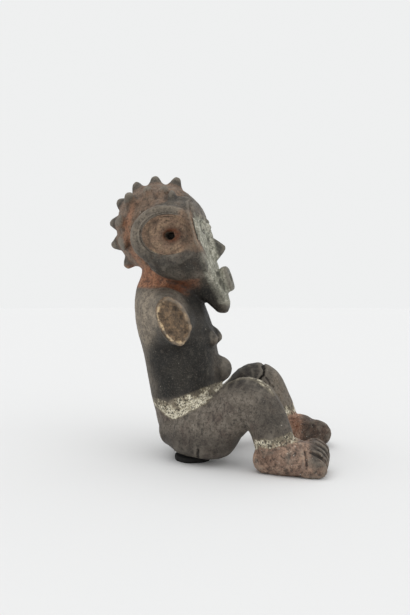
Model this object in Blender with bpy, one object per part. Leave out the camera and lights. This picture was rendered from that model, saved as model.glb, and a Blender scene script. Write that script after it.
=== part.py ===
"""Seated terracotta figure: studded head, broken arms and drawn-up knees, on a thin pad under the seat.

Metres, +Z up. The figure faces -Y and its right side is toward -X. Its pose, proportions and carving are
shares of its own height, given as forward (toward -Y), up and side. The pad follows named sizes.
"""

import math

import bmesh
import bpy
from mathutils import Matrix, Vector

# Driving sizes, metres
HEIGHT = 0.360  # floor to the tip of the tallest hair stud
PAD_RADIUS = 0.0235
PAD_THICKNESS = 0.0066
PAD_EDGE = 0.0008  # how far the pad's edges are rounded
PAD_FORWARD = -0.011  # pad centre, forward of the figure's own axis
PAD_SIDE = -0.029  # and toward its right
FIT_GAP = 0.0003  # between the pad and the clay that rests on it
VOXEL = 0.0019  # clay grid on which the shapes are merged into one body
SMOOTHING_PASSES = 5
FIGURE_TRIANGLES = 8600

# Pose and carving, shares of the height
STUMP_SIDE = 0.205  # where each arm is broken off
STUMP_LEAN = 20  # degrees that the broken arms lean back at the top
EAR = (-0.109, 0.768)  # forward, up of the flared drum of an ear
EAR_DISH = (-0.101, 0.774)
SKULL = (-0.163, 0.810)
STUD_REACH = 0.191  # skull centre to the tip of a hair stud
SIDE_STUD_SIZE = 0.90  # the studs beside the middle row are smaller
SIDE_STUD_SPREAD = 0.75  # how steeply they lean outward
LIPS = (0.082, 0.629)
LIPS_LEAN = 17
LEFT_FOOT_AHEAD = 0.012  # the left foot stands a little further forward
LEFT_KNEE_HIGHER = 0.010
SEAT_FRONT = 0.19  # the flat under the seat ends here, forward
ARM_SPAN = (0.40, 0.61)  # between these heights the arms are cut off
TRUNK_SQUARENESS = 2.25  # 2 is a true oval
LIPS_SQUARENESS = 2.6
RING_POINTS = 28


def spot(forward, up, side=0.0):
    """A place on the figure, from shares of its height."""
    return Vector((side, -forward, up)) * HEIGHT


def clear_scene():
    for thing in list(bpy.data.objects):
        bpy.data.objects.remove(thing, do_unlink=True)


def add_object(name, shape):
    """Puts a bmesh into the scene with its normals outward."""
    bmesh.ops.recalc_face_normals(shape, faces=shape.faces)
    mesh = bpy.data.meshes.new(name)
    shape.to_mesh(mesh)
    shape.free()
    thing = bpy.data.objects.new(name, mesh)
    bpy.context.scene.collection.objects.link(thing)
    return thing


def skin(name, rings):
    """A closed body through rings of equal length, with a fan at each end."""
    shape = bmesh.new()
    rows = [[shape.verts.new(point) for point in ring] for ring in rings]
    for lower, upper in zip(rows, rows[1:]):
        for i in range(len(lower)):
            j = (i + 1) % len(lower)
            shape.faces.new((lower[i], lower[j], upper[j], upper[i]))
    shape.faces.new(rows[0])
    shape.faces.new(rows[-1])
    bmesh.ops.triangulate(shape, faces=[face for face in shape.faces if len(face.verts) > 4])
    return add_object(name, shape)


def oval(centre, across, along, power=2.0):
    """A ring about centre, with half axes across and along. A power over 2 squares it."""
    ring = []
    for i in range(RING_POINTS):
        turn = 2 * math.pi * i / RING_POINTS
        c = math.copysign(abs(math.cos(turn)) ** (2 / power), math.cos(turn))
        s = math.copysign(abs(math.sin(turn)) ** (2 / power), math.sin(turn))
        ring.append(centre + across * c + along * s)
    return ring


def limb(name, stations):
    """A round limb through (place, half width, half thickness) stations, with domed ends."""
    places = [station[0] for station in stations]
    rings = []
    last = len(stations) - 1
    for i, (place, width, thickness) in enumerate(stations):
        heading = (places[min(i + 1, last)] - places[max(i - 1, 0)]).normalized()
        side = (Vector((1, 0, 0)) - heading * heading.x).normalized()
        up = heading.cross(side).normalized()
        ends = {0: (-0.92, -0.6, 0.0), last: (0.0, 0.6, 0.92)}.get(i, (0.0,))
        for reach in ends:
            shrink = math.sqrt(1 - reach * reach)
            moved = place + heading * (thickness * HEIGHT * reach)
            rings.append(oval(moved, side * (width * HEIGHT * shrink), up * (thickness * HEIGHT * shrink)))
    return skin(name, rings)


def ball(name, centre, radii, lean=0.0):
    """An ellipsoid with half axes (side, forward, up), leaned forward by an angle in degrees."""
    shape = bmesh.new()
    bmesh.ops.create_uvsphere(shape, u_segments=24, v_segments=16, radius=1.0)
    turn = Matrix.Rotation(math.radians(lean), 4, "X")
    place = Matrix.Translation(centre) @ turn @ Matrix.Diagonal((*(Vector(radii) * HEIGHT), 1.0))
    bmesh.ops.transform(shape, matrix=place, verts=shape.verts)
    return add_object(name, shape)


def turned(name, centre, axis, profile, squash=1.0):
    """A body turned about axis from (distance along, radius) pairs; squash flattens it upward."""
    heading = axis.normalized()
    across = heading.orthogonal().normalized() if abs(heading.x) < 0.9 else Vector((0, 1, 0))
    upward = heading.cross(across).normalized()
    rings = []
    for reach, radius in profile:
        middle = centre + heading * (reach * HEIGHT)
        rings.append(oval(middle, across * (radius * HEIGHT), upward * (radius * HEIGHT * squash)))
    return skin(name, rings)


def mirrored(build, name, *details):
    """The same form on both sides: build takes a name, a sign for the side, and the details."""
    return [build(f"{name}_right", -1, *details), build(f"{name}_left", 1, *details)]


def eased(path, steps=3):
    """The stations with more between them, on a smooth curve through them all."""
    rows = [Vector(row) for row in path]
    last = len(rows) - 1
    made = []
    for i in range(last):
        before, start = rows[max(i - 1, 0)], rows[i]
        end, after = rows[i + 1], rows[min(i + 2, last)]
        for step in range(steps):
            t = step / steps
            bend = (end - before) * t + (before * 2 - start * 5 + end * 4 - after) * t**2
            made.append(start + (bend + (start * 3 - before - end * 3 + after) * t**3) * 0.5)
    return made + [rows[-1]]


def trunk():
    """Seat, belly, chest, shoulders and neck as one stack of level ovals."""
    levels = (
        # up, back, front, half width
        (0.005, -0.075, 0.010, 0.075),
        (0.030, -0.115, 0.050, 0.120),
        (0.064, -0.146, 0.072, 0.145),
        (0.105, -0.162, 0.080, 0.158),
        (0.160, -0.174, 0.075, 0.160),
        (0.215, -0.190, 0.066, 0.154),
        (0.266, -0.199, 0.060, 0.148),
        (0.338, -0.213, 0.052, 0.147),
        (0.426, -0.234, 0.034, 0.158),
        (0.480, -0.243, 0.016, 0.170),
        (0.535, -0.250, -0.003, 0.165),
        (0.573, -0.250, -0.014, 0.132),
        (0.610, -0.243, -0.018, 0.102),
        (0.642, -0.231, -0.020, 0.094),
        (0.695, -0.225, -0.020, 0.094),
    )
    rings = []
    for up, back, front, half in eased(levels):
        across = Vector((half * HEIGHT, 0, 0))
        along = Vector((0, -(front - back) / 2 * HEIGHT, 0))
        rings.append(oval(spot((back + front) / 2, up), across, along, TRUNK_SQUARENESS))
    return skin("trunk", rings)


def side_limb(name, sign, path, ahead=0.0):
    """A limb on one side from (forward, up, side, half width, half thickness) stations."""
    stations = [(spot(row[0] + ahead, row[1], sign * row[2]), row[3], row[4]) for row in eased(path)]
    return limb(name, stations)


def haunch(name, sign):
    """The full underside of one buttock and thigh."""
    return ball(name, spot(0.030, 0.126, sign * 0.124), (0.090, 0.122, 0.099))


def leg(name, sign):
    """Thigh, knee, calf and ankle of one leg."""
    path = (
        # forward, up, side, half width, half thickness, share of the knee's lift
        (-0.085, 0.104, 0.086, 0.066, 0.066, 0.0),
        (-0.030, 0.108, 0.108, 0.080, 0.079, 0.0),
        (0.020, 0.119, 0.127, 0.085, 0.086, 0.1),
        (0.070, 0.141, 0.143, 0.083, 0.085, 0.3),
        (0.116, 0.180, 0.158, 0.078, 0.080, 0.7),
        (0.150, 0.222, 0.168, 0.075, 0.076, 1.0),
        (0.182, 0.226, 0.176, 0.073, 0.076, 1.0),
        (0.210, 0.198, 0.184, 0.070, 0.074, 0.8),
        (0.236, 0.160, 0.194, 0.064, 0.067, 0.4),
        (0.254, 0.112, 0.202, 0.061, 0.066, 0.1),
        (0.262, 0.062, 0.204, 0.059, 0.062, 0.0),
    )
    lift = LEFT_KNEE_HIGHER if sign > 0 else 0.0
    return side_limb(name, sign, [(row[0], row[1] + lift * row[5], *row[2:5]) for row in path])


def foot(name, sign):
    """The block of one foot, heel to ball."""
    path = (
        # forward, up, side, half width, half height
        (0.238, 0.042, 0.202, 0.052, 0.052),
        (0.275, 0.048, 0.204, 0.063, 0.060),
        (0.320, 0.051, 0.206, 0.068, 0.062),
        (0.350, 0.046, 0.205, 0.066, 0.056),
    )
    return side_limb(name, sign, path, LEFT_FOOT_AHEAD if sign > 0 else 0.0)


def toes(sign):
    """Five toes a foot, shorter and lower toward the outside."""
    made = []
    ahead = LEFT_FOOT_AHEAD if sign > 0 else 0.0
    for i in range(5):
        inward = i / 4
        side = sign * (0.259 - 0.108 * inward)
        high = 0.074 + 0.036 * inward**0.6
        place = spot(0.374 + 0.012 * inward + ahead, high / 2 - 0.004, side)
        made.append(ball(f"toe_{sign}_{i}", place, (0.0165 + 0.004 * inward, 0.058, high / 2 + 0.002), 10))
    return made


def shoulder(name, sign):
    """The stub of one arm, longer than it stays, so that the break can cut it."""
    path = (
        # forward, up, side, half depth, half height
        (-0.120, 0.484, 0.060, 0.112, 0.118),
        (-0.112, 0.486, 0.110, 0.098, 0.112),
        (-0.098, 0.488, 0.150, 0.080, 0.100),
        (-0.084, 0.487, 0.180, 0.063, 0.089),
        (-0.072, 0.485, 0.205, 0.053, 0.079),
        (-0.064, 0.484, 0.240, 0.047, 0.072),
    )
    lean = math.radians(STUMP_LEAN)
    rings = []
    for forward, up, side, half, tall in eased(path):
        across = Vector((0, -math.cos(lean), math.sin(lean))) * (half * HEIGHT)
        upright = Vector((0, math.sin(lean), math.cos(lean))) * (tall * HEIGHT)
        rings.append(oval(spot(forward, up, sign * side), across, upright))
    return skin(name, rings)


def breast(name, sign):
    """A small pointed breast, turned a little outward."""
    profile = ((-0.030, 0.042), (0.000, 0.040), (0.016, 0.030), (0.028, 0.018), (0.036, 0.009))
    return turned(name, spot(0.020, 0.418, sign * 0.056), Vector((sign * 0.12, -1.0, -0.10)), profile, 0.9)


def face_block():
    """The mask of the face: a flat front as wide as the ears, sides that run back to them, a wedge chin."""
    levels = (
        # up, front, half width in front, back, half width at the back
        (0.507, 0.082, 0.020, 0.054, 0.018),
        (0.524, 0.089, 0.034, 0.037, 0.030),
        (0.546, 0.092, 0.047, 0.010, 0.046),
        (0.580, 0.080, 0.064, -0.050, 0.074),
        (0.612, 0.065, 0.086, -0.096, 0.104),
        (0.634, 0.055, 0.110, -0.136, 0.142),
        (0.656, 0.047, 0.129, -0.164, 0.164),
        (0.690, 0.036, 0.148, -0.184, 0.172),
        (0.734, 0.021, 0.161, -0.196, 0.174),
        (0.785, 0.007, 0.168, -0.198, 0.173),
        (0.836, -0.005, 0.168, -0.192, 0.168),
        (0.866, -0.010, 0.162, -0.184, 0.158),
        (0.884, -0.017, 0.144, -0.178, 0.138),
        (0.908, -0.034, 0.108, -0.168, 0.106),
    )
    rings = []
    for up, front, narrow, back, wide in levels:
        corner = front - 0.015
        half = [
            (front, 0.0),
            (front - 0.002, narrow * 0.5),
            (front - 0.007, narrow * 0.85),
            (corner, narrow),
            (corner * 0.6 + back * 0.4, narrow * 0.5 + wide * 0.5),
            (corner * 0.25 + back * 0.75, wide),
            (back, wide * 0.8),
            (back - 0.008, 0.0),
        ]
        ring = [spot(f, up, s) for f, s in half]
        ring += [spot(f, up, -s) for f, s in reversed(half[1:-1])]
        rings.append(ring)
    return skin("face_block", rings)


def ear(name, sign):
    """The flared drum of one ear, before its dish is hollowed."""
    profile = (
        # side, radius
        (0.060, 0.096),
        (0.120, 0.104),
        (0.150, 0.115),
        (0.166, 0.122),
        (0.172, 0.120),
        (0.176, 0.112),
    )
    return turned(name, spot(*EAR), Vector((sign, 0, 0)), profile, 0.88)


def ear_dish(name, sign):
    """What is hollowed out of one ear: a shallow dish and the hole in its middle."""
    profile = (
        # side, radius
        (0.085, 0.013),
        (0.1375, 0.020),
        (0.145, 0.046),
        (0.154, 0.071),
        (0.170, 0.088),
        (0.230, 0.094),
    )
    return turned(name, spot(*EAR_DISH), Vector((sign, 0, 0)), profile, 0.78)


def nose():
    """A pointed nose, its tip forward and a little down."""
    half = (
        # forward, up, side
        (-0.020, 0.806, 0.012),
        (0.000, 0.700, 0.040),
        (0.058, 0.757, 0.008),
        (0.076, 0.744, 0.008),
        (0.073, 0.728, 0.010),
        (0.030, 0.678, 0.018),
    )
    shape = bmesh.new()
    for forward, up, side in half:
        shape.verts.new(spot(forward, up, side))
        shape.verts.new(spot(forward, up, -side))
    bmesh.ops.convex_hull(shape, input=shape.verts)
    bmesh.ops.delete(shape, geom=[vert for vert in shape.verts if not vert.link_faces], context="VERTS")
    return add_object("nose", shape)


def lips_oval(half_width, half_height, reach, grown, power=2.0):
    """A ring in the plane of the lips, moved out of the face by reach."""
    lean = math.radians(LIPS_LEAN)
    outward = Vector((0, -math.cos(lean), math.sin(lean)))
    upright = Vector((0, math.sin(lean), math.cos(lean)))
    across = Vector((half_width * grown * HEIGHT, 0, 0))
    along = upright * (half_height * grown * HEIGHT)
    return oval(spot(*LIPS) + outward * (reach * HEIGHT), across, along, power)


def lips():
    """The slab of the mouth, standing off the face on a narrower neck."""
    profile = ((-0.050, 0.80), (-0.018, 0.80), (-0.008, 1.0), (0.008, 0.97), (0.013, 0.84))
    return skin("lips", [lips_oval(0.054, 0.048, reach, grown, LIPS_SQUARENESS) for reach, grown in profile])


def mouth():
    """What is hollowed out between the lips."""
    profile = ((-0.016, 0.6), (0.050, 1.5))
    return skin("mouth", [lips_oval(0.034, 0.015, reach, grown) for reach, grown in profile])


def eye(name, sign):
    return ball(name, spot(-0.004, 0.812, sign * 0.056), (0.036, 0.020, 0.021), -12)


def brow(name, sign):
    arc = ((0.020, 0.838), (0.054, 0.852), (0.090, 0.838))
    return limb(name, [(spot(-0.006, up, sign * side), 0.011, 0.011) for side, up in arc])


def stud(name, turn, spread=0.0, size=1.0):
    """One clay stud of the hair: turn is degrees from straight up, forward positive."""
    radial = Vector((0, -math.sin(math.radians(turn)), math.cos(math.radians(turn))))
    heading = (radial + Vector((spread, 0, 0))).normalized()
    shape = ((0.45, 0.056), (0.70, 0.043), (0.81, 0.031), (0.89, 0.022), (0.95, 0.017), (1.0, 0.010))
    profile = [(STUD_REACH * size * share, radius * size) for share, radius in shape]
    return turned(name, spot(*SKULL), heading, profile)


def hair():
    """A middle row of studs over the crown and down the nape, and one row each side."""
    middle = (19.4, -6.4, -29.4, -57.2, -82.5, -108.0, -137.0)
    beside = (15.5, -11.0, -46.0, -84.0, -113.0)
    made = [stud(f"stud_middle_{i}", turn) for i, turn in enumerate(middle)]
    for sign in (-1, 1):
        spread = sign * SIDE_STUD_SPREAD
        made += [stud(f"stud_{sign}_{i}", turn, spread, SIDE_STUD_SIZE) for i, turn in enumerate(beside)]
    return made


def block(name, low, high):
    """A box between two corners."""
    shape = bmesh.new()
    bmesh.ops.create_cube(shape, size=1.0)
    sides = Vector(high) - Vector(low)
    place = Matrix.Translation((Vector(low) + Vector(high)) / 2) @ Matrix.Diagonal((*sides, 1.0))
    bmesh.ops.transform(shape, matrix=place, verts=shape.verts)
    return add_object(name, shape)


def apply_all(thing):
    """Bakes the object's modifiers into its mesh."""
    graph = bpy.context.evaluated_depsgraph_get()
    mesh = bpy.data.meshes.new_from_object(thing.evaluated_get(graph))
    thing.modifiers.clear()
    thing.data = mesh


def merged(name, shapes):
    """All shapes made one clay body: joined, merged on the clay grid, smoothed and thinned."""
    shape = bmesh.new()
    for piece in shapes:
        shape.from_mesh(piece.data)
        bpy.data.objects.remove(piece, do_unlink=True)
    body = add_object(name, shape)
    remesh = body.modifiers.new("clay grid", "REMESH")
    remesh.mode = "VOXEL"
    remesh.voxel_size = VOXEL
    apply_all(body)
    smooth = body.modifiers.new("smoothing", "SMOOTH")
    smooth.factor = 0.5
    smooth.iterations = SMOOTHING_PASSES
    apply_all(body)
    return body


def thinned(body, triangles):
    bpy.context.view_layer.update()
    body.data.calc_loop_triangles()
    thin = body.modifiers.new("thinning", "DECIMATE")
    thin.ratio = triangles / len(body.data.loop_triangles)
    apply_all(body)


def cut(body, cutters):
    """Takes the cutters out of the body, one after another."""
    for cutter in cutters:
        taken = body.modifiers.new("cut", "BOOLEAN")
        taken.operation = "DIFFERENCE"
        taken.solver = "EXACT"
        taken.object = cutter
        apply_all(body)
        bpy.data.objects.remove(cutter, do_unlink=True)


def clay_figure():
    shapes = [trunk(), face_block(), nose(), lips()]
    shapes += [ball("skull", spot(*SKULL), (0.130, 0.161, 0.160))]
    shapes += [ball("belly", spot(0.040, 0.307), (0.060, 0.058, 0.052))]
    for build in (leg, haunch, foot, shoulder, breast, ear, eye, brow):
        shapes += mirrored(build, build.__name__)
    shapes += toes(-1) + toes(1)
    shapes += hair()
    body = merged("figure", shapes)
    thinned(body, FIGURE_TRIANGLES)
    seat = PAD_THICKNESS + FIT_GAP
    far = 2 * HEIGHT
    front = -SEAT_FRONT * HEIGHT
    low, high = ARM_SPAN[0] * HEIGHT, ARM_SPAN[1] * HEIGHT
    cutters = [mouth(), *mirrored(ear_dish, "ear_dish")]
    cutters.append(block("floor_cut", (-far, -far, -far), (far, far, 0)))
    cutters.append(block("seat_cut", (-far, front, -HEIGHT), (far, far, seat)))
    for sign in (-1, 1):
        near, out = sorted((sign * STUMP_SIDE * HEIGHT, sign * far))
        cutters.append(block("arm_cut", (near, -HEIGHT, low), (out, HEIGHT, high)))
    cut(body, cutters)
    return body


def seat_pad():
    """The thin pad under the seat."""
    inner = PAD_RADIUS - PAD_EDGE
    top = PAD_THICKNESS
    rings = []
    for up, radius in ((0, inner), (PAD_EDGE, PAD_RADIUS), (top - PAD_EDGE, PAD_RADIUS), (top, inner)):
        centre = Vector((PAD_SIDE, -PAD_FORWARD, up))
        rings.append(oval(centre, Vector((radius, 0, 0)), Vector((0, radius, 0))))
    return skin("seat_pad", rings)


def finish(thing, name, colour, roughness):
    """Smooth shading and a material of its own."""
    for face in thing.data.polygons:
        face.use_smooth = True
    material = bpy.data.materials.new(name)
    material.use_nodes = True
    shader = material.node_tree.nodes["Principled BSDF"]
    shader.inputs["Base Color"].default_value = (*colour, 1.0)
    shader.inputs["Roughness"].default_value = roughness
    thing.data.materials.clear()
    thing.data.materials.append(material)


def centred(things):
    """Moves the meshes so that the middle of their common box stands over the origin."""
    corners = [vert.co for thing in things for vert in thing.data.vertices]
    middle = [(min(c[i] for c in corners) + max(c[i] for c in corners)) / 2 for i in (0, 1)]
    for thing in things:
        thing.data.transform(Matrix.Translation((-middle[0], -middle[1], 0)))


clear_scene()
figure = clay_figure()
pad = seat_pad()
centred([figure, pad])
finish(figure, "dark_terracotta", (0.100, 0.078, 0.062), 0.85)
finish(pad, "dark_pad", (0.012, 0.010, 0.009), 0.9)
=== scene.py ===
"""Seated terracotta figure: its fine clay skin and the pad under its seat, in soft studio light."""

import math

import bpy
import numpy as np
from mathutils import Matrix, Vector


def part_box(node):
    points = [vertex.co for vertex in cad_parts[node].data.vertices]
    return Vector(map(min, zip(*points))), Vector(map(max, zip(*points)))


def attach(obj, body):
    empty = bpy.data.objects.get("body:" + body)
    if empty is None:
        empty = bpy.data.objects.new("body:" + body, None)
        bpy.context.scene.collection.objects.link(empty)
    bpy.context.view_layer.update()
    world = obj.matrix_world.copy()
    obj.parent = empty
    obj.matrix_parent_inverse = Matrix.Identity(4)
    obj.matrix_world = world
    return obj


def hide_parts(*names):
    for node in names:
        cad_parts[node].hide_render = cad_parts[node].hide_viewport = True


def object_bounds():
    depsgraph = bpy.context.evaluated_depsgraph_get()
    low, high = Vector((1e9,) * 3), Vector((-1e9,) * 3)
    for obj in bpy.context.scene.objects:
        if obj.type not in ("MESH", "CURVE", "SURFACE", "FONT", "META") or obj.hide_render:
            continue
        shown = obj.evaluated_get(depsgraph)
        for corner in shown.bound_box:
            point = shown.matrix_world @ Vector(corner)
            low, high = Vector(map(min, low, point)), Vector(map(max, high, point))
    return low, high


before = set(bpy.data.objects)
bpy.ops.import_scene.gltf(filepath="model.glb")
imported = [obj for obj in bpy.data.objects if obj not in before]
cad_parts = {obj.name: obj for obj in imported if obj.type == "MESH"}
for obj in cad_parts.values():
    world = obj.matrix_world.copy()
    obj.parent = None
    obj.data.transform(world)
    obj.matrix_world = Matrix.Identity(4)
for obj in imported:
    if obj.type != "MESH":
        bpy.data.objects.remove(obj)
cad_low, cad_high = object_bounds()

# The figure's own frame: places on it are shares of its height, and forward is toward -Y
HEIGHT = cad_high[2] - cad_low[2]
PAD_LOW, PAD_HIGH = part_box("seat_pad")
PAD_FORWARD = -0.011  # metres, as in the solids
AXIS_Y = (PAD_LOW[1] + PAD_HIGH[1]) / 2 + PAD_FORWARD
PAD_GAP = 0.0003  # metres between the pad and the clay
SEAT_ENDS = 0.15  # forward of this the clay may reach the table

# How the pieces are worked, lengths in metres
SKIN_GRID = 0.0011
SKIN_TRIANGLES = 195000
SKIN_SMOOTHINGS = 8
PAD_GRID = 0.0007
PAD_EDGE = (0.016, 0.023)  # from the middle of the pad, where its edge begins to be ragged and is fully so
RAGGED_DEPTH, RAGGED_GRAIN = 0.0009, 0.005
MERGE_DISTANCE = 0.00001
LUMP_TABLE = 64  # random values along each side of the table that lumps are read from, a power of 2
RUB_SHARE = 0.6  # how far one rub takes a vertex toward the mean of those beside it
CHEEK_RUBS, TOE_RUBS = 60, 30
TABLE_FADE = 0.0035  # height over the table in which the carving sets in
# The hollow mask carries painted shade in dips and a lighter colour on ridges, partly wear and partly painted
# highlight
HOLLOW_SHADE_RUBS = 3
HOLLOW_SHADE_DEPTH = 0.00035  # a dip of this depth is fully hollow to the paint

# Places, as (forward, up)
EAR_DISH = (-0.101, 0.774)
DISH_RADIUS, DISH_SQUASH = 0.088, 0.78
EAR_HOLE_AHEAD = 0.010  # of the middle of the dish
SKULL = (-0.163, 0.810)
STUMP_SIDE = 0.205  # where the arms end, as in the solids
EYE_SIDE, EYE_UP = 0.056, 0.812
EYE_HALF = (0.040, 0.026)
NOSTRIL = (0.050, 0.716)
NOSTRIL_SIDE = 0.011

# Grooves of the ear band: distance in dish radii, width, depth in metres
BACK_GROOVES = ((1.05, 0.028, 0.0018), (1.17, 0.022, 0.0008), (1.27, 0.020, 0.0005))
TOP_GROOVES = ((0.88, 0.018, 0.0011), (0.96, 0.018, 0.0011), (1.12, 0.018, 0.0011))

# Lines of the carving and the paint, as (forward, up)
FACE_EDGE = ((-0.030, 0.884), (-0.016, 0.836), (-0.007, 0.790), (0.008, 0.746), (0.026, 0.696), (0.041, 0.637),
             (0.060, 0.578), (0.078, 0.535))
KNEE_CRACK = ((0.192, 0.325), (0.1972, 0.3076), (0.2055, 0.2915), (0.2018, 0.2729), (0.1856, 0.254))
KNEE_HAIRLINE = ((0.211, 0.262), (0.225, 0.238), (0.239, 0.227))
SEAT_CRACK = ((0.012, 0.070), (0.0101, 0.0608), (0.0059, 0.0380))
HIP_BAND = ((-0.225, 0.200), (-0.142, 0.198), (-0.110, 0.187), (-0.087, 0.186), (-0.050, 0.201), (-0.012, 0.220),
            (0.020, 0.234), (0.042, 0.246), (0.076, 0.262))
HIP_BAND_HALF = (0.015, 0.019, 0.026, 0.036, 0.031, 0.029, 0.028, 0.019, 0.006)  # half width at each place
KNEE_SLIP = ((0.090, 0.283), (0.128, 0.302), (0.160, 0.309), (0.195, 0.305), (0.222, 0.286), (0.250, 0.252))
NECK_LOW = ((-0.25, 0.600), (-0.15, 0.594), (-0.10, 0.580), (-0.054, 0.563), (0.0, 0.572))  # lower edge of the orange
BEHIND_EAR = ((-0.120, 0.938), (-0.190, 0.915), (-0.236, 0.880), (-0.260, 0.805), (-0.247, 0.735), (-0.215, 0.680),
              (-0.200, 0.630))
TOE_GROOVES = (0.2455, 0.2185, 0.1915, 0.1645)  # to the side, from the little toe inward
TOE_CLEFT = ((0.357, 0.084), (0.3589, 0.076), (0.3608, 0.042))
TOE_LINES = (((0.374, 0.080), (0.4006, 0.070), (0.427, 0.052), (0.437, 0.040)), ((0.392, 0.099), (0.428, 0.0775)))
SMALL_STUDS = ((-0.098, 0.904), (-0.250, 0.906), (-0.279, 0.828), (-0.268, 0.750))  # on the sides of the head
BREAK_MIDDLE, BREAK_HALF = (-0.072, 0.485), (0.053, 0.079)
BREAK_LEAN = 0.36  # how far the break leans forward for each step down


def linear(code):
    """An sRGB hex colour as the linear values that a shader takes."""
    parts = [int(code[i : i + 2], 16) / 255 for i in (0, 2, 4)]
    return tuple(c / 12.92 if c <= 0.04045 else ((c + 0.055) / 1.055) ** 2.4 for c in parts) + (1.0,)


# Working clay in numbers


def rise(low, high, values):
    """0 below low, 1 above high and an eased rise between; low over high falls instead."""
    t = np.clip((values - low) / (high - low), 0, 1)
    return t * t * (3 - 2 * t)


def lumps(points, grain, seed):
    """Smooth random lumps from -1 to 1, one grain wide and always the same for a seed."""
    table = np.random.default_rng(seed).random((LUMP_TABLE,) * 3) * 2 - 1
    cell = points / grain
    low = np.floor(cell).astype(int)
    t = cell - low
    t = t * t * (3 - 2 * t)
    total = np.zeros(len(points))
    for i in (0, 1):
        for j in (0, 1):
            for k in (0, 1):
                x, y, z = ((low + (i, j, k)) & (LUMP_TABLE - 1)).T
                weight = (t[:, 0] if i else 1 - t[:, 0]) * (t[:, 1] if j else 1 - t[:, 1])
                total += table[x, y, z] * weight * (t[:, 2] if k else 1 - t[:, 2])
    return total


def path_distance(forward, up, path):
    """Distance from each place to a path seen from the side, and how far along the path it is."""
    best = np.full(len(forward), np.inf)
    along = np.zeros(len(forward))
    for i, (start, end) in enumerate(zip(path, path[1:])):
        run = (end[0] - start[0], end[1] - start[1])
        t = ((forward - start[0]) * run[0] + (up - start[1]) * run[1]) / (run[0] ** 2 + run[1] ** 2)
        t = np.clip(t, 0, 1)
        away = np.hypot(forward - start[0] - run[0] * t, up - start[1] - run[1] * t)
        closer = away < best
        best = np.where(closer, away, best)
        along = np.where(closer, i + t, along)
    return best, along


def bell(values, width):
    """1 in the middle, falling smoothly to nothing by about twice the width."""
    return np.exp(-((values / width) ** 2))


def read(mesh, what):
    """The places or normals of a mesh's vertices, one row each."""
    values = np.empty(len(mesh.vertices) * 3)
    mesh.vertices.foreach_get(what, values)
    return values.reshape(-1, 3)


def shares(points):
    """Forward, up and side of each point, as shares of the height."""
    return (AXIS_Y - points[:, 1]) / HEIGHT, points[:, 2] / HEIGHT, points[:, 0] / HEIGHT


def edge_ends(mesh):
    """The first and the second vertex of every edge."""
    ends = np.empty(len(mesh.edges) * 2, dtype=int)
    mesh.edges.foreach_get("vertices", ends)
    return ends[0::2], ends[1::2]


def neighbour_mean(values, ends):
    """The mean of what is next to each vertex, column by column."""
    start, end = ends
    count = len(values)
    beside = np.bincount(start, minlength=count) + np.bincount(end, minlength=count)
    columns = []
    for column in values.T:
        total = np.bincount(start, column[end], count) + np.bincount(end, column[start], count)
        columns.append(total / np.maximum(beside, 1))
    return np.array(columns).T


def rubbed(points, ends, amount, times):
    """The surface rubbed smooth where amount is over 0."""
    for _ in range(times):
        points = points + (neighbour_mean(points, ends) - points) * (amount * RUB_SHARE)[:, None]
    return points


# Where things are on the figure


def on_left(side):
    """1 on the figure's left half."""
    return rise(0.02, 0.05, side)


def on_right(side):
    """1 on the figure's right half, which the photograph shows."""
    return rise(0.02, -0.02, side)


def skull_reach(forward, up, side):
    """Distance from the middle of the skull."""
    return np.hypot(np.hypot(forward - SKULL[0], up - SKULL[1]), side)


def dish_reach(forward, up):
    """Distance from the middle of the ear dish, 1 at its rim."""
    return np.hypot(forward - EAR_DISH[0], (up - EAR_DISH[1]) / DISH_SQUASH) / DISH_RADIUS


def face_edge_forward(up):
    """How far forward the incised edge of the face runs at each height."""
    rows = sorted((row[1], row[0]) for row in FACE_EDGE)
    return np.interp(up, [row[0] for row in rows], [row[1] for row in rows])


def break_reach(forward, up):
    """Distance from the middle of the broken face of an arm, 1 at its edge."""
    drop = up - BREAK_MIDDLE[1]
    return np.hypot((forward - BREAK_MIDDLE[0] + drop * BREAK_LEAN) / BREAK_HALF[0], drop / BREAK_HALF[1])


def on_stump(forward, up, side):
    """1 on the broken faces of the arms."""
    return rise(STUMP_SIDE - 0.016, STUMP_SIDE - 0.012, np.abs(side)) * rise(1.12, 1.0, break_reach(forward, up))


def ear_turn(forward, up):
    """Direction from the middle of the ear dish in degrees: 0 to the back, 90 up, -90 down."""
    return np.degrees(np.arctan2(up - EAR_DISH[1], EAR_DISH[0] - forward))


def ankle_up(forward, side):
    """Height of the middle of the white ankle bands."""
    return np.where(side < 0, 0.098 + 0.21 * (forward - 0.21), 0.132 + 0.42 * (forward - 0.292))


# Carving: how deep each kind of stroke cuts into the clay, in metres. The limits in rise and the widths in bell are
# shares of the height, angles in degrees where they go with a turn, and the last number of lumps is its seed.


def carve_ears(forward, up, side, points):
    """Grooves of the rolled ear band, deepest at its back and top."""
    depth = np.zeros(len(forward))
    outer = rise(0.125, 0.150, np.abs(side))
    reach = dish_reach(forward, up)
    turn = ear_turn(forward, up)
    behind = rise(-95, -50, turn) * rise(150, 105, turn)
    wander = lumps(points, 0.020, 3) * 0.012
    top = rise(55, 80, turn) * rise(140, 100, turn)
    for grooves, where in ((BACK_GROOVES, behind), (TOP_GROOVES, top)):
        for ring, width, cut in grooves:
            depth += bell(reach - ring - wander, width) * cut * where * outer
    depth -= bell(reach - 1.11 - wander, 0.025) * 0.0006 * rise(-60, -30, turn) * rise(75, 50, turn) * outer
    inside = rise(0.95, 0.75, reach) * outer
    return depth + inside * lumps(points, 0.0035, 5) * 0.00025


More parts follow.
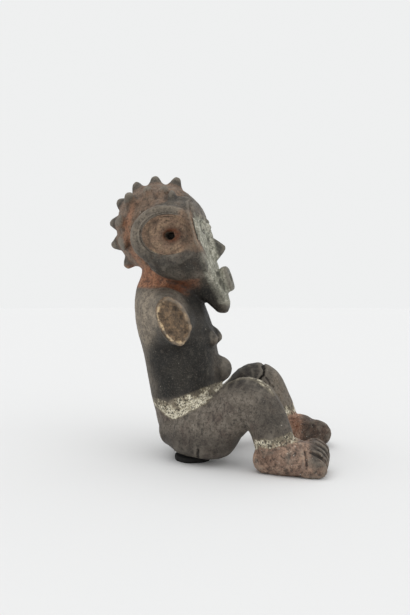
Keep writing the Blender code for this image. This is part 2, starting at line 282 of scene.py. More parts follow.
def carve_face(forward, up, side, points):
    """The incised edge of the face with its raised lip, the eyes and the nostrils."""
    wide = np.abs(side)
    away = forward - face_edge_forward(up) - lumps(points, 0.016, 7) * 0.002
    along = rise(0.535, 0.56, up) * rise(0.900, 0.880, up) * rise(0.018, 0.045, wide)
    along *= 0.50 + 0.50 * rise(0.66, 0.72, up)
    depth = bell(away, 0.0040) * 0.0019 * along - bell(away + 0.010, 0.005) * 0.0003 * along
    front = rise(-0.020, 0.000, forward)
    eye = np.hypot((wide - EYE_SIDE) / EYE_HALF[0], (up - EYE_UP) / EYE_HALF[1])
    depth += bell(eye - 1.0, 0.16) * 0.0010 * front * rise(0.9, 0.86, up)
    depth += bell(up - EYE_UP, 0.0035) * rise(1.0, 0.7, eye) * 0.0012 * front
    nostril = np.hypot(np.hypot(forward - NOSTRIL[0], (up - NOSTRIL[1]) * 0.8), wide - NOSTRIL_SIDE)
    depth += bell(nostril, 0.006) * 0.0016
    return depth


def carve_feet(forward, up, side, points):
    """Grooves between the toes, lines over them, the edges of the nails and the cleft by the little toe."""
    depth = np.zeros(len(forward))
    wide = np.abs(side)
    toe_lines = np.minimum(*(path_distance(forward, up, line)[0] for line in TOE_LINES))
    depth += bell(toe_lines + lumps(points, 0.004, 15) * 0.0012, 0.0030) * 0.0024 * rise(0.235, 0.25, wide)
    for i, groove in enumerate(TOE_GROOVES):
        wander = lumps(points, 0.014, 11 + i) * 0.0025
        from_here = 0.368 + 0.006 * i
        depth += bell(wide - groove - wander, 0.0042) * rise(from_here, from_here + 0.03, forward) * 0.0022
    nail = rise(0.405, 0.425, forward) * rise(0.050, 0.062, up)
    depth += bell(up - 0.066 - 0.004 * (wide - 0.2) / 0.05, 0.006) * nail * 0.0005
    cleft = path_distance(forward, up, TOE_CLEFT)[0]
    depth += bell(cleft, 0.0032) * 0.0020 * rise(0.235, 0.25, wide)
    return depth * rise(0.20, 0.16, up)


def carve_cracks(forward, up, side, points):
    """The open crack over the left knee, its hairline, and the crack under the right buttock."""
    jag = lumps(points, 0.004, 17) * 0.0035 + lumps(points, 0.0018, 18) * 0.0012
    crack = path_distance(forward + jag, up, KNEE_CRACK)[0]
    depth = bell(crack, 0.0034) * 0.0048 * rise(0.090, 0.105, side) * rise(0.235, 0.205, side)
    hairline = path_distance(forward + jag, up, KNEE_HAIRLINE)[0]
    depth += bell(hairline, 0.0022) * 0.0013 * rise(0.08, 0.10, side) * rise(0.18, 0.16, side)
    seat = path_distance(forward + 1.4 * jag, up, SEAT_CRACK)[0]
    depth += bell(seat, 0.0026) * (0.0026 + 0.0012 * lumps(points, 0.004, 19)) * rise(-0.10, -0.12, side)
    return depth


def carve_back(forward, up, side, points):
    """The hollow of the spine and the cleft of the seat."""
    behind = rise(-0.10, -0.15, forward)
    spine = bell(side, 0.016) * rise(0.20, 0.26, up) * rise(0.56, 0.48, up) * 0.0012
    cleft = bell(side, 0.011) * rise(0.02, 0.05, up) * rise(0.185, 0.150, up) * 0.0040
    return (spine + cleft) * behind


def carve_haunches(forward, up, side, points):
    """The haunches sit a little lower and fuller at the sides of the seat."""
    wide = np.abs(side)
    under = rise(0.120, 0.050, up) * rise(0.09, 0.14, wide)
    under *= rise(-0.125, -0.060, forward) * rise(0.150, 0.090, forward)
    return -under * 0.0045


def carve_stumps(forward, up, side, points):
    """Rough hollow breaks of the arms, with a crusted rim."""
    broken = on_stump(forward, up, side)
    oval = break_reach(forward, up)
    grit = lumps(points, 0.0060, 21) * 0.0007 + lumps(points, 0.0030, 22) * 0.0003
    grit += lumps(points, 0.014, 23) * 0.0009
    hollow = rise(1.0, 0.5, oval) * 0.0016
    rim = bell(oval - 0.93, 0.08) * (0.0005 + 0.0008 * lumps(points, 0.007, 24))
    return broken * (grit + hollow - rim)


def carve_hair(forward, up, side, points):
    """Small studs on the sides of the head and pinched, uneven clay between all of them."""
    studs = sum(bell(np.hypot(forward - stud[0], up - stud[1]), 0.0115) for stud in SMALL_STUDS)
    studs *= rise(0.02, 0.05, np.abs(side)) * 0.0085
    reach = skull_reach(forward, up, side)
    hair = rise(0.125, 0.145, reach) * rise(-0.035, -0.060, forward) * rise(0.66, 0.70, up)
    hair *= rise(0.155, 0.135, np.abs(side))
    return hair * (lumps(points, 0.009, 31) * 0.0009 + lumps(points, 0.004, 32) * 0.00035) - studs


def hand_worked(forward, up, side, points):
    """The slight unevenness that hands and scraping leave, with small pits."""
    depth = lumps(points, 0.034, 41) * 0.0009 + lumps(points, 0.012, 42) * 0.00035
    depth += lumps(points * (1, 1, 0.45), 0.0045, 43) * 0.00016 + lumps(points, 0.0024, 44) * 0.00010
    pits = rise(0.52, 0.80, lumps(points, 0.0036, 45)) * rise(-0.1, 0.3, lumps(points, 0.020, 46))
    foot = rise(0.13, 0.10, up) * rise(0.18, 0.22, forward)
    depth += pits * 0.00045 + foot * lumps(points, 0.007, 47) * 0.0006
    return depth * rise(STUMP_SIDE, STUMP_SIDE - 0.01, np.where(up > 0.38, np.abs(side), 0))


# Paint, firing, wear, painted shade and painted light, 0 to 1 at each vertex, with the same kinds of limits


def cream_slip(forward, up, side, points):
    """Density of what is left of the cream slip: hip belt, knee line and ankle bands."""
    away, along = path_distance(forward, up, HIP_BAND)
    half = np.interp(along, np.arange(len(HIP_BAND_HALF)), HIP_BAND_HALF)
    lower = rise(0.3, -0.6, (up - np.interp(forward, *zip(*HIP_BAND))) / half)
    belt = rise(1.15, 0.75, away / half) * (0.52 + 0.20 * lower)
    belt *= 0.80 + 0.20 * rise(-0.155, -0.075, forward)
    belt *= 1 - 0.45 * rise(0.15, 0.50, lumps(points, 0.011, 61)) + 0.15 * rise(0.1, 0.5, lumps(points, 0.014, 62))
    knee = path_distance(forward, up, KNEE_SLIP)[0]
    ridge = bell(knee, 0.011) * rise(-0.150, -0.165, side) * rise(-0.225, -0.200, side) * 0.55
    thick = np.where(side < 0, 0.017, 0.021) * (1 + 0.35 * lumps(points, 0.009, 63))
    band = rise(1.25, 0.75, np.abs(up - ankle_up(forward, side)) / thick) * rise(0.185, 0.200, forward)
    band *= rise(0.20, 0.17, up) * rise(0.35, 0.32, forward) * (0.56 + 0.24 * lumps(points, 0.010, 64))
    return np.clip(np.maximum.reduce([belt, ridge, band]), 0, 1)


def ochre_zone(forward, up, side, points):
    """Orange firing on the neck, in a band behind the ears and faintly on the crown."""
    wide = np.abs(side)
    neck = rise(-0.014, 0.012, up - np.interp(forward, *zip(*NECK_LOW))) * rise(0.70, 0.655, up)
    neck *= rise(0.124, 0.104, wide)
    neck *= rise(0.03, -0.03, forward) * (1 - 0.25 * rise(-0.15, -0.08, forward))
    away, along = path_distance(forward, up, BEHIND_EAR)
    reach = skull_reach(forward, up, side)
    ear = bell(away, 0.016) * rise(0.175, 0.160, wide) * rise(0.180, 0.165, reach) * rise(0.62, 0.64, up)
    ear *= 0.30 + 0.70 * rise(1.2, 3.4, along)
    hair = rise(0.12, 0.135, reach) * rise(0.178, 0.160, reach) * rise(-0.03, -0.08, forward) * 0.32
    crown = bell(np.hypot((forward + 0.150) / 1.5, up - 0.915), 0.030) * 0.45 * rise(0.13, 0.10, wide)
    return np.clip(np.maximum.reduce([neck, ear * 1.35, crown, hair]), 0, 1)


def foot_zone(forward, up, side, points):
    """Redder feet below the ankle bands, less so on the toes."""
    foot = rise(0.006, -0.016, up - ankle_up(forward, side)) * rise(0.175, 0.20, forward)
    toes = rise(0.345, 0.385, forward) * rise(0.010, 0.05, up)
    return np.clip(foot * (1 - 0.62 * toes * np.where(side < 0, 1.0, 0.55)), 0, 1)


def pale_face(forward, up, side, points):
    """The lighter grey-green front of the face, with some of it on the jaw."""
    front = rise(-0.003, 0.004, forward - face_edge_forward(up)) * rise(0.505, 0.525, up)
    front *= 0.25 + 0.75 * rise(0.86, 0.80, up)
    under = rise(-0.004, 0.014, up - 0.507 - 0.30 * np.clip(0.082 - forward, 0, 1))
    jaw = rise(-0.045, -0.01, forward - face_edge_forward(up)) * rise(0.76, 0.68, up) * rise(0.52, 0.545, up)
    return np.maximum(front * under, jaw * 0.55 * under)


def warm_zone(forward, up, side, points):
    """Warm brown in the ear dishes, on the cheeks by them and faintly between the studs."""
    outer = rise(0.110, 0.130, np.abs(side))
    dish = rise(1.03, 0.93, dish_reach(forward, up))
    cheek = rise(-0.085, -0.050, forward) * rise(0.69, 0.735, up) * rise(0.875, 0.84, up)
    ear = outer * np.clip(dish + 0.7 * cheek, 0, 1) * rise(0.004, -0.006, forward - face_edge_forward(up))
    reach = skull_reach(forward, up, side)
    hair = rise(0.12, 0.135, reach) * rise(0.175, 0.160, reach) * rise(-0.03, -0.08, forward) * rise(0.64, 0.67, up)
    return np.maximum(ear, hair * rise(0.165, 0.145, np.abs(side)) * 0.45)


def rust_zone(forward, up, side, points):
    """Rust by the ear holes, in front of them, on the throat and the feet, and one red spot on the right cheek."""
    outer = rise(0.110, 0.130, np.abs(side))
    hole = bell(dish_reach(forward - EAR_HOLE_AHEAD, up), 0.42) * outer * 1.3
    front = bell(dish_reach(forward, up) - 0.85, 0.2) * rise(-0.075, -0.045, forward) * outer * 0.35
    mark = bell(np.hypot(forward - 0.0215, up - 0.749), 0.006) * rise(-0.09, -0.11, side)
    heel = bell(np.hypot(forward - 0.322, (up - 0.085) / 1.3), 0.045) * on_left(side) * 0.75
    heel = np.maximum(heel, rise(0.30, 0.32, forward) * rise(0.14, 0.13, up) * on_left(side) * 0.45)
    throat = bell(np.hypot((forward + 0.075) / 2.2, up - 0.600), 0.028) * rise(0.13, 0.11, np.abs(side))
    near = bell(np.hypot(forward - 0.235, (up - 0.055) / 1.2), 0.034) * rise(-0.08, -0.12, side) * 0.5
    return np.clip(np.maximum.reduce([hole, front, mark, heel, near, throat]), 0, 1)


def soot_and_shade_zone(forward, up, side, points):
    """Smoke-black on the jaw and over the neck, chest, waist and belly, and painted shade under the chin and the arm
    stubs.
    """
    wide = np.abs(side)
    # Painted shade under the chin
    under_chin_shade = bell(np.hypot(forward / 1.2, up - 0.560), 0.050) * rise(0.13, 0.10, wide)
    # Painted shade under the arm stubs
    arm = bell(np.hypot((forward + 0.085) / 2.0, up - 0.397), 0.020) * rise(0.11, 0.13, wide) * 0.9
    waist = rise(0.53, 0.36, up) * rise(0.20, 0.24, up - 0.25 * (forward + 0.1))
    drift = 0.12 * (up - 0.3) + 0.03 * lumps(points, 0.030, 65)
    waist *= rise(-0.235, -0.09, forward + drift) * (1 - 0.55 * rise(0.02, 0.05, forward))
    chest = rise(-0.06, -0.01, forward) * rise(0.56, 0.52, up) * rise(0.40, 0.44, up) * 0.75
    jaw = bell(up - 0.668 - 0.25 * np.clip(-forward - 0.13, 0, 1), 0.034) * rise(0.10, 0.13, wide) * 0.55
    belly = rise(-0.02, 0.03, forward) * rise(0.42, 0.38, up) * rise(0.20, 0.24, up) * rise(0.09, 0.07, wide) * 0.5
    neck = rise(-0.10, -0.01, forward) * rise(0.62, 0.580, up) * rise(0.50, 0.54, up) * rise(0.17, 0.12, wide) * 0.85
    neck *= rise(-0.005, -0.035, forward - face_edge_forward(up))
    return np.clip(np.maximum.reduce([under_chin_shade, arm, waist, chest, belly, jaw, neck]), 0, 1)


def violet_zone(forward, up, side, points):
    """Purplish brown of the legs and seat below the hip belt, less so on the shins and the left half."""
    below = rise(0.0, -0.03, up - np.interp(forward, *zip(*HIP_BAND)))
    knee = rise(0.06, 0.09, forward) * rise(0.10, 0.13, np.abs(side)) * rise(0.36, 0.33, up)
    shin = rise(0.17, 0.24, forward)
    return np.clip(np.maximum(below, knee), 0, 1) * (1 - 0.55 * shin) * (1 - 0.35 * on_left(side))


def shoulder_zone(forward, up, side, points):
    """Lighter clay on the shoulders, the back, the ear bands and the left shin, partly their own colour and partly
    painted light where the back, the shoulders and the shin face the light.
    """
    reach = dish_reach(forward, up)
    turn = ear_turn(forward, up)
    shoulder = bell(np.hypot((forward + 0.175) / 1.1, (up - 0.500) / 1.5), 0.058)
    ear = rise(1.0, 1.1, reach) * rise(1.5, 1.3, reach) * rise(0.12, 0.14, np.abs(side)) * 0.45
    ear *= rise(-80, -20, turn) * rise(175, 120, turn)
    # Painted light on the left shin, which faces up to the light
    shin = rise(0.20, 0.24, forward) * on_left(side) * rise(0.29, 0.25, up) * rise(0.13, 0.16, up)
    # Painted light over the paler clay of the back, which faces the light
    back = rise(-0.13, -0.20, forward) * rise(0.60, 0.56, up) * rise(0.20, 0.30, up)
    return np.clip(np.maximum.reduce([shoulder, shin * 0.35, ear]) * 1.15 + back * 0.42, 0, 1)


def shade_zone(forward, up, side, points):
    """Darker clay on the knees, toes, neck, nose, lips, studs and cheeks and around the ear holes, and painted shade
    under the seat.
    """
    wide = np.abs(side)
    ahead = forward - face_edge_forward(up)
    # Painted shade on the underside of the seat, which the light from above does not reach
    seat = rise(0.16, 0.08, up) * rise(0.19, 0.15, forward) * 0.70
    knee = rise(0.23, 0.29, up) * rise(0.06, 0.10, forward) * rise(0.36, 0.33, up) * on_right(side)
    calf = rise(0.17, 0.22, forward) * rise(0.30, 0.24, up) * on_right(side) * 0.60
    left_knee = rise(0.06, 0.08, side) * rise(0.25, 0.20, forward) * rise(0.22, 0.26, up) * rise(0.36, 0.33, up)
    left_toes = rise(0.05, 0.08, side) * rise(0.32, 0.36, forward) * rise(0.15, 0.13, up)
    toes = rise(0.35, 0.39, forward) * rise(0.14, 0.12, up) * 0.8
    neck = rise(-0.16, -0.09, forward) * rise(0.01, -0.03, forward) * rise(0.54, 0.57, up) * rise(0.66, 0.63, up)
    neck *= rise(0.125, 0.10, wide) * 0.6
    nose = rise(0.020, 0.040, ahead) * rise(0.66, 0.68, up) * rise(0.83, 0.80, up)
    lips = rise(0.030, 0.042, ahead) * rise(0.585, 0.595, up) * rise(0.68, 0.67, up) * 0.75
    reach = skull_reach(forward, up, side)
    studs = rise(0.150, 0.175, reach) * rise(-0.03, -0.06, forward) * rise(0.64, 0.67, up)
    studs *= rise(0.15, 0.13, wide) * 0.4
    dish = rise(0.75, 0.30, dish_reach(forward - EAR_HOLE_AHEAD, up)) * rise(0.12, 0.14, wide) * 0.6
    cheek = rise(-0.065, -0.035, forward) * rise(0.66, 0.70, up) * rise(0.0, -0.01, ahead)
    cheek *= rise(0.12, 0.14, wide) * 0.6
    zones = [seat, knee, calf, left_knee, left_toes, toes, neck, nose, lips, studs, dish, cheek]
    return np.clip(np.maximum.reduce(zones), 0, 1)


def broken_zone(forward, up, side, points):
    """Bare, coarse clay of the broken faces."""
    return on_stump(forward, up, side)


def crust_zone(forward, up, side, points):
    """Light earth left along the broken edges and on the lower edge of the ear dishes."""
    lower = 0.35 + 0.65 * rise(0.05, -0.04, forward - BREAK_MIDDLE[0] + 0.6 * (up - BREAK_MIDDLE[1]))
    arm = bell(break_reach(forward, up) - 0.90 - 0.08 * lumps(points, 0.012, 25), 0.12) * lower
    arm *= rise(STUMP_SIDE - 0.012, STUMP_SIDE - 0.004, np.abs(side))
    turn = ear_turn(forward, up)
    dish = bell(dish_reach(forward, up) - 1.0 - 0.04 * lumps(points, 0.008, 26), 0.06)
    dish *= rise(-125, -100, turn) * rise(0, -40, turn) * 0.55
    return np.clip(np.maximum(arm, dish * rise(0.12, 0.14, np.abs(side))), 0, 1)


PAINTS = {
    "cream": cream_slip,
    "ochre": ochre_zone,
    "foot": foot_zone,
    "pale": pale_face,
    "warm": warm_zone,
    "soot_and_shade": soot_and_shade_zone,
    "violet": violet_zone,
    "rubbed": shoulder_zone,
    "shade": shade_zone,
    "rust": rust_zone,
    "broken": broken_zone,
    "crust": crust_zone,
}
CARVINGS = (
    carve_ears,
    carve_face,
    carve_feet,
    carve_cracks,
    carve_back,
    carve_haunches,
    carve_stumps,
    carve_hair,
    hand_worked,
)


def choose(thing):
    """Selects one object alone and makes it the active one."""
    bpy.ops.object.select_all(action="DESELECT")
    thing.select_set(True)
    bpy.context.view_layer.objects.active = thing


def apply_modifier(thing, name, kind, **settings):
    """Adds one modifier with its settings and applies it."""
    modifier = thing.modifiers.new(name, kind)
    for key, value in settings.items():
        setattr(modifier, key, value)
    choose(thing)
    bpy.ops.object.modifier_apply(modifier=modifier.name)


def clay_copy(node, name):
    """A merged copy of one of the solids, to be worked finer."""
    piece = node.copy()
    piece.data = node.data.copy()
    piece.name = name
    bpy.context.scene.collection.objects.link(piece)
    choose(piece)
    bpy.ops.object.mode_set(mode="EDIT")
    bpy.ops.mesh.select_all(action="SELECT")
    bpy.ops.mesh.remove_doubles(threshold=MERGE_DISTANCE)
    bpy.ops.object.mode_set(mode="OBJECT")
    return piece


def carve(skin):
    """Rubs and carves the skin, and keeps it above the table and the pad and inside the solids' box."""
    points, normals = read(skin.data, "co"), read(skin.data, "normal")
    ends = edge_ends(skin.data)
    forward, up, side = shares(points)
    reach = dish_reach(forward, up)
    turn = ear_turn(forward, up)
    cheek = rise(0.62, 0.80, reach) * rise(1.30, 1.12, reach) * rise(-0.075, -0.040, forward)
    jaw = rise(1.05, 1.12, reach) * rise(1.75, 1.50, reach) * rise(-170, -150, turn) * rise(-25, -50, turn)
    toes = rise(0.335, 0.355, forward) * rise(0.16, 0.14, up)
    points = rubbed(points, ends, np.maximum(cheek, jaw) * rise(0.11, 0.13, np.abs(side)), CHEEK_RUBS)
    points = rubbed(points, ends, toes, TOE_RUBS)
    depth = sum(stroke(forward, up, side, points) for stroke in CARVINGS)
    depth *= rise(0.0, TABLE_FADE, points[:, 2])
    points -= normals * depth[:, None]
    points[:, 2] = np.maximum(points[:, 2], np.where(forward < SEAT_ENDS, PAD_HIGH[2] + PAD_GAP, 0))
    points = np.clip(points, np.array(cad_low), np.array(cad_high))
    skin.data.vertices.foreach_set("co", points.ravel())
    skin.data.update()


def add_mask(mesh, name, values):
    """Keeps a value at each vertex for the material to read."""
    mesh.attributes.new(name, "FLOAT", "POINT").data.foreach_set("value", values.astype(np.float32))


def paint(skin):
    """Lays the paint, firing, wear and painted shade on the skin as attributes that its material reads, with a hollow
    mask that is dark in dips and light on ridges.
    """
    points, normals = read(skin.data, "co"), read(skin.data, "normal")
    ends = edge_ends(skin.data)
    forward, up, side = shares(points)
    for name, zone in PAINTS.items():
        add_mask(skin.data, name, zone(forward, up, side, points))
    # Painted shade in dips and a lighter colour on ridges, partly wear and partly painted highlight: how far each
    # vertex lies below the mean around it
    spread = neighbour_mean(points, ends)
    for _ in range(HOLLOW_SHADE_RUBS):
        spread = neighbour_mean(spread, ends)
    hollow = ((spread - points) * normals).sum(1)[:, None]
    hollow = neighbour_mean(hollow, ends)[:, 0]
    add_mask(skin.data, "hollow", np.clip(hollow / HOLLOW_SHADE_DEPTH, -1, 1))


def add_node(tree, kind, inputs=None, **settings):
    """Adds a node, sets its properties, and sets or links its inputs by name or number."""
    node = tree.nodes.new(kind)
    for key, value in settings.items():
        setattr(node, key, value)
    for key, value in (inputs or {}).items():
        if isinstance(value, bpy.types.NodeSocket):
            tree.links.new(value, node.inputs[key])
        else:
            node.inputs[key].default_value = value
    return node


def new_material(name):
    """A new material, its nodes and its shader."""
    material = bpy.data.materials.new(name)
    material.use_nodes = True
    return material, material.node_tree, material.node_tree.nodes["Principled BSDF"]


# Noises of the clay: millimetres across a lump, detail, roughness, stretch, shift. The real grit is about 1 mm and
# the pits are finer: they are drawn 1.5 to 2.6 mm wide, because finer grain would flicker at this image size.
CLAY_NOISES = {
    "cloud": (26, 3, 0.6, (1, 1, 1), 0.0),
    "blotch": (9, 3, 0.6, (1, 1, 1), 3.1),
    "speck": (2.6, 2, 0.6, (1, 1, 1), 7.7),
    "fine": (1.5, 2, 0.7, (1, 1, 1), 1.3),
    "streak": (5, 3, 0.6, (1, 1, 0.35), 5.2),
    "chips": (7, 5, 0.8, (1, 1, 1), 9.4),
    "grit": (2.2, 1, 0.5, (1, 1, 1), 4.4),
    "pepper": (2.4, 1, 0.5, (1, 1, 1), 6.6),
}
CLAY_BASE = "49433b"
# Each layer: colour, strength, then what it lies on, as (source, from, to) or (mask, noise, wander, from, to)
CLAY_LAYERS = (
    ("70675c", 1.0, ("cloud", 0.36, 0.66)),
    ("57483d", 0.7, ("blotch", 0.50, 0.72)),
    ("857d72", 0.30, ("chips", 0.52, 0.66)),
    ("5c544b", 1.0, ("violet", "blotch", 0.4, 0.30, 0.70)),
    ("7f766b", 0.80, ("violet", 0.3, 0.7), ("chips", 0.40, 0.62)),
    ("54463f", 0.6, ("violet", 0.3, 0.7), ("cloud", 0.48, 0.64)),
    ("302b28", 0.6, ("violet", 0.3, 0.7), ("streak", 0.54, 0.68)),
    # Lighter clay, with painted light on the back, shoulders and left shin
    ("776d60", 1.0, ("rubbed", "streak", 0.8, 0.15, 0.90)),
    ("a39684", 0.7, ("rubbed", 0.2, 0.9), ("blotch", 0.42, 0.64)),
    ("977967", 1.0, ("foot", "cloud", 0.6, 0.25, 0.75)),
    ("c2a18a", 0.9, ("foot", 0.3, 0.8), ("blotch", 0.38, 0.66)),
    ("3f342d", 0.75, ("foot", 0.1, 0.5), ("chips", 0.50, 0.62)),
    ("b09580", 0.5, ("foot", 0.1, 0.5), ("chips", 0.44, 0.36)),
    ("8b5c43", 1.0, ("ochre", "chips", 0.7, 0.15, 0.95)),
    ("ae7e5f", 0.8, ("ochre", 0.3, 1.0), ("streak", 0.40, 0.62)),
    ("4a3a30", 0.65, ("ochre", 0.1, 0.5), ("chips", 0.50, 0.62)),
    ("836a57", 1.0, ("warm", "blotch", 0.5, 0.20, 0.80)),
    ("a0866c", 0.85, ("warm", 0.3, 0.8), ("chips", 0.40, 0.62)),
    ("8a897b", 1.0, ("pale", "fine", 0.4, 0.25, 0.70)),
    ("c4c1b1", 0.80, ("pale", 0.2, 0.7), ("chips", 0.48, 0.58)),
    ("4c4a43", 0.45, ("pale", 0.2, 0.7), ("streak", 0.52, 0.66)),
    ("623519", 0.85, ("rust", "speck", 0.5, 0.15, 1.0)),
    # Darker clay where the shade mask lies, and painted shade under the seat
    ("1f1b18", 0.85, ("shade", "chips", 0.9, 0.05, 1.15)),
    # Smoke-black clay, with painted shade under the chin and the arm stubs
    ("141310", 0.96, ("soot_and_shade", "chips", 0.6, 0.10, 0.80)),
    ("57524a", 0.30, ("soot_and_shade", 0.1, 0.6), ("chips", 0.53, 0.66)),
    ("46423b", 0.25, ("soot_and_shade", 0.1, 0.6), ("cloud", 0.48, 0.66)),
    ("6e3c1e", 0.55, ("rust", "chips", 0.6, 0.45, 1.0)),
    ("1e1b18", 0.50, ("speck", 0.50, 0.66)),
    ("a89d8e", 0.12, ("fine", 0.50, 0.70)),
    ("5e5042", 1.0, ("broken", "fine", 0.3, 0.2, 0.8)),
    ("8c7359", 0.8, ("broken", 0.2, 0.8), ("chips", 0.44, 0.62)),
    ("453a2e", 0.5, ("broken", 0.2, 0.8), ("blotch", 0.54, 0.64)),
    ("d4ba93", 0.92, ("crust", "chips", 3.0, 0.62, 1.25)),
    ("877d68", 0.55, ("cream", 0.10, 0.50)),
    ("aca38c", 0.95, ("cream", "chips", 1.9, 0.42, 0.60)),
    ("e8e1cd", 0.9, ("cream", "chips", 1.9, 0.50, 0.70), ("fine", 0.40, 0.58)),
    ("332e28", 0.75, ("cream", 0.2, 0.5), ("pepper", 0.52, 0.60)),
    ("c2bbae", 0.60, ("grit", 0.68, 0.78), ("chips", 0.52, 0.62)),
    ("dad4c8", 0.70, ("foot", 0.2, 0.6), ("grit", 0.72, 0.78)),
    ("24211e", 0.45, ("pepper", 0.58, 0.72)),
    # Painted shade in the hollows, and lighter ridges, partly rubbed wear and partly painted highlight
    ("1d1a17", 0.65, ("hollow", 0.15, 1.0)),
    ("a59b8c", 0.25, ("hollow", -0.30, -1.0)),
)
# Relief too fine for the mesh: source, from, to, height
CLAY_RELIEF = (
    ("speck", 0.2, 0.8, 0.5),
    ("fine", 0.2, 0.8, 0.35),
    ("streak", 0.2, 0.8, 0.35),
    ("cream", 0.35, 0.75, 0.25),
    ("pepper", 0.66, 0.80, -0.4),
)
SHEEN_ROUGHNESS = (0.58, 0.76)  # from the best burnished clay to the most worn
CHALK_ROUGHNESS = 0.95
CLAY_SPECULAR = 0.35
CLAY_BUMP, CLAY_BUMP_DEPTH = 0.55, 0.0007

# The pad
RUBBER_BASE = "0f0d0c"
RUBBER_NOISES = {"dust": (3.8, 3, 0.5, (1, 1, 1), 0.0)}
RUBBER_LAYERS = (("1d1a18", 0.8, ("dust", 0.45, 0.75)),)
RUBBER_ROUGHNESS = 0.92
RUBBER_BUMP, RUBBER_BUMP_DEPTH = 0.5, 0.0004


def stepped(tree, sources, factor):
    """How far a source, or a mask that wanders with a noise, has risen from one value to the next."""
    source, *wandering, low, high = factor
    value = sources[source]
    if wandering:
        noise, reach = wandering
        drift = add_node(tree, "ShaderNodeMath", {0: sources[noise], 1: reach, 2: -reach / 2},
                         operation="MULTIPLY_ADD")
        value = add_node(tree, "ShaderNodeMath", {0: value, 1: drift.outputs[0]}, operation="ADD").outputs[0]
    return add_node(tree, "ShaderNodeMapRange", {"Value": value, "From Min": low, "From Max": high},
                    interpolation_type="SMOOTHSTEP").outputs[0]


def coloured(tree, sources, base, layers):
    """The layers of colour laid over the base, one on the other."""
    colour = linear(base)
    for code, amount, *factors in layers:
        for factor in factors:
            step = stepped(tree, sources, factor)
            amount = add_node(tree, "ShaderNodeMath", {0: step, 1: amount}, operation="MULTIPLY").outputs[0]
        inputs = {0: amount, 6: colour, 7: linear(code)}
        colour = add_node(tree, "ShaderNodeMix", inputs, data_type="RGBA").outputs[2]
    return colour


def noise_sources(tree, noises):
    """Noises in the piece's own space, each with lumps of its own size."""
    place = add_node(tree, "ShaderNodeTexCoord").outputs["Object"]
    sources = {}
    for name, (millimetres, detail, roughness, stretch, shift) in noises.items():
        scale = [1000 / millimetres * part for part in stretch]
        moved = add_node(tree, "ShaderNodeMapping", {"Vector": place, "Scale": scale, "Location": (shift,) * 3})
        noise = add_node(tree, "ShaderNodeTexNoise",
                         {"Vector": moved.outputs[0], "Scale": 1.0, "Detail": detail, "Roughness": roughness})
        sources[name] = noise.outputs["Fac"]
    return sources


def fired_clay():
    """Coarse low-fired clay, coil-built by hand, smoked dark and burnished, with worn slip and earth left in it.

    To the eye: charcoal to brown mottles, matte with a faint sheen on the rubbed parts, pale grit specks,
    orange where the flame reached, and chalky cream slip that has flaked into spots. Its colour also holds painted
    shade in the hollows, under the seat, the chin and the arm stubs, and painted light on the back and the ridges.
    """
    material, tree, shader = new_material("smoked_burnished_terracotta")
    sources = noise_sources(tree, CLAY_NOISES)
    for name in [*PAINTS, "hollow"]:
        sources[name] = add_node(tree, "ShaderNodeAttribute", attribute_name=name).outputs["Fac"]
    tree.links.new(coloured(tree, sources, CLAY_BASE, CLAY_LAYERS), shader.inputs["Base Color"])

    # Burnished parts shine faintly, slip and breaks not at all
    sheen = add_node(tree, "ShaderNodeMapRange", {"Value": sources["blotch"], "From Min": 0.3, "From Max": 0.7,
                                                  "To Min": SHEEN_ROUGHNESS[0], "To Max": SHEEN_ROUGHNESS[1]})
    chalky = add_node(tree, "ShaderNodeMath", {0: sources["broken"], 1: sources["cream"]}, operation="MAXIMUM")
    dull = add_node(tree, "ShaderNodeMath", {0: chalky.outputs[0], 1: CHALK_ROUGHNESS}, operation="MULTIPLY")
    rough = add_node(tree, "ShaderNodeMath", {0: sheen.outputs[0], 1: dull.outputs[0]}, operation="MAXIMUM")
    tree.links.new(rough.outputs[0], shader.inputs["Roughness"])
    shader.inputs["Specular IOR Level"].default_value = CLAY_SPECULAR

    height = 0.0
    for source, low, high, share in CLAY_RELIEF:
        step = stepped(tree, sources, (source, low, high))
        added = add_node(tree, "ShaderNodeMath", {0: step, 1: share, 2: height}, operation="MULTIPLY_ADD")
        height = added.outputs[0]
    bump = add_node(tree, "ShaderNodeBump", {"Height": height, "Strength": CLAY_BUMP, "Distance": CLAY_BUMP_DEPTH})
    tree.links.new(bump.outputs[0], shader.inputs["Normal"])
    return material


def pad_rubber():
    """Thin cut sheet of dark foam rubber: near black, matte, with a dusty edge."""
    material, tree, shader = new_material("cut_dark_foam_rubber")
    sources = noise_sources(tree, RUBBER_NOISES)
    tree.links.new(coloured(tree, sources, RUBBER_BASE, RUBBER_LAYERS), shader.inputs["Base Color"])
    shader.inputs["Roughness"].default_value = RUBBER_ROUGHNESS
    bump = add_node(tree, "ShaderNodeBump", {"Height": sources["dust"], "Strength": RUBBER_BUMP,
                                             "Distance": RUBBER_BUMP_DEPTH})
    tree.links.new(bump.outputs[0], shader.inputs["Normal"])
    return material


def dress(piece, material, node):
    """Gives a finished piece its material and puts it in the place of its solid."""
    for face in piece.data.polygons:
        face.use_smooth = True
    piece.data.materials.clear()
    piece.data.materials.append(material)
    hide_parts(node)
    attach(piece, "root")


def figure_skin():
    """The whole terracotta, worked finer than its solid."""
    skin = clay_copy(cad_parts["figure"], "clay_skin")
    apply_modifier(skin, "fine grid", "REMESH", mode="VOXEL", voxel_size=SKIN_GRID)
    apply_modifier(skin, "rubbed smooth", "SMOOTH", factor=0.5, iterations=SKIN_SMOOTHINGS)
    carve(skin)
    triangles = sum(len(face.vertices) - 2 for face in skin.data.polygons)
    apply_modifier(skin, "thinning", "DECIMATE", ratio=SKIN_TRIANGLES / triangles)
    paint(skin)
    dress(skin, fired_clay(), "figure")


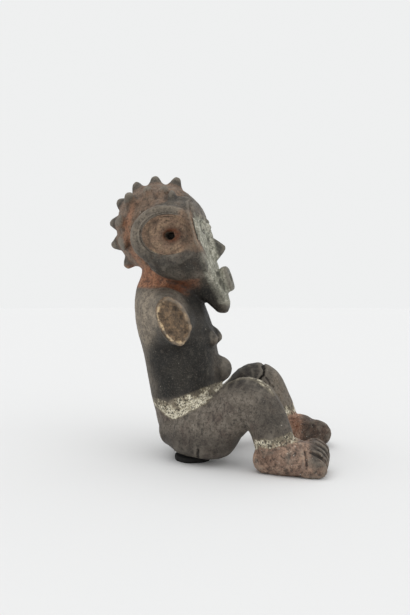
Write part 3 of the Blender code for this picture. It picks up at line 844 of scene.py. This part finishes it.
def seat_pad():
    """The pad, its cut edge a little ragged."""
    pad = clay_copy(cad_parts["seat_pad"], "cut_pad")
    apply_modifier(pad, "fine grid", "REMESH", mode="VOXEL", voxel_size=PAD_GRID)
    points = read(pad.data, "co")
    middle = (np.array(PAD_LOW) + np.array(PAD_HIGH)) / 2
    radial = points - middle
    radial[:, 2] = 0
    reach = np.linalg.norm(radial, axis=1)
    ragged = rise(*PAD_EDGE, reach) * RAGGED_DEPTH * (1 + lumps(points * (1, 1, 0.2), RAGGED_GRAIN, 71))
    points -= radial / np.maximum(reach, 1e-6)[:, None] * ragged[:, None]
    pad.data.vertices.foreach_set("co", np.clip(points, np.array(PAD_LOW), np.array(PAD_HIGH)).ravel())
    pad.data.update()
    dress(pad, pad_rubber(), "seat_pad")


# Camera, as the photograph was taken: metres, degrees and pixels
IMAGE_HEIGHT = 615
CAMERA_DISTANCE = 0.840
CAMERA_AZIMUTH = -81.0
CAMERA_ELEVATION = 1.555
CAMERA_HEIGHT = 0.2121
CAMERA_FOCAL_PIXELS = 652.0
SENSOR = 36.0  # millimetres

# Studio: a pale floor under an even pale sky, which hides where the floor ends
FLOOR_RADIUS = 7.0
FLOOR_CORNERS = 128
FLOOR_COLOUR = "e6e6e6"
FLOOR_ROUGHNESS, FLOOR_SPECULAR = 0.95, 0.1
SKY_COLOUR, SKY_STRENGTH = "f2f3f3", 0.97
# Each light: name, the way to it, strength, width in degrees
LIGHTS = (("overhead", (-0.3, 0.3, 1.9), 0.62, 70), ("front", (-0.9, -1.3, 1.1), 0.30, 50))


def add_camera():
    """The photograph's camera: close by, a little above the middle of the figure and turned slightly to its front."""
    azimuth, tilt = math.radians(CAMERA_AZIMUTH), math.radians(CAMERA_ELEVATION)
    away = Vector((math.sin(azimuth) * math.cos(tilt), -math.cos(azimuth) * math.cos(tilt), math.sin(tilt)))
    target = Vector((0, AXIS_Y, CAMERA_HEIGHT - CAMERA_DISTANCE * math.sin(tilt)))
    bpy.ops.object.camera_add(location=target + away * CAMERA_DISTANCE)
    camera = bpy.context.object
    camera.rotation_euler = away.to_track_quat("Z", "Y").to_euler()
    camera.data.sensor_width = SENSOR
    camera.data.lens = CAMERA_FOCAL_PIXELS / IMAGE_HEIGHT * SENSOR
    bpy.context.scene.camera = camera


def add_light(name, away, strength, width):
    """A soft light from far away, even over the figure and the whole floor."""
    bpy.ops.object.light_add(type="SUN", location=Vector(away))
    light = bpy.context.object
    light.name = name
    light.data.energy = strength
    light.data.angle = math.radians(width)
    light.rotation_euler = Vector(away).to_track_quat("Z", "Y").to_euler()


def add_floor():
    """The matte paper that the figure stands on, wide enough to reach past the picture."""
    bpy.ops.object.select_all(action="DESELECT")
    bpy.ops.mesh.primitive_circle_add(vertices=FLOOR_CORNERS, radius=FLOOR_RADIUS, fill_type="NGON")
    floor = bpy.context.object
    floor.name = "studio_floor"
    material, tree, shader = new_material("matte_studio_paper")
    shader.inputs["Base Color"].default_value = linear(FLOOR_COLOUR)
    shader.inputs["Roughness"].default_value = FLOOR_ROUGHNESS
    shader.inputs["Specular IOR Level"].default_value = FLOOR_SPECULAR
    floor.data.materials.append(material)


def add_studio():
    """Floor, sky and lights."""
    add_floor()
    world = bpy.data.worlds.new("studio")
    bpy.context.scene.world = world
    world.use_nodes = True
    sky = world.node_tree.nodes["Background"]
    sky.inputs["Color"].default_value = linear(SKY_COLOUR)
    sky.inputs["Strength"].default_value = SKY_STRENGTH
    bpy.context.scene.view_settings.view_transform = "Standard"
    for light in LIGHTS:
        add_light(*light)


figure_skin()
seat_pad()
add_camera()
add_studio()
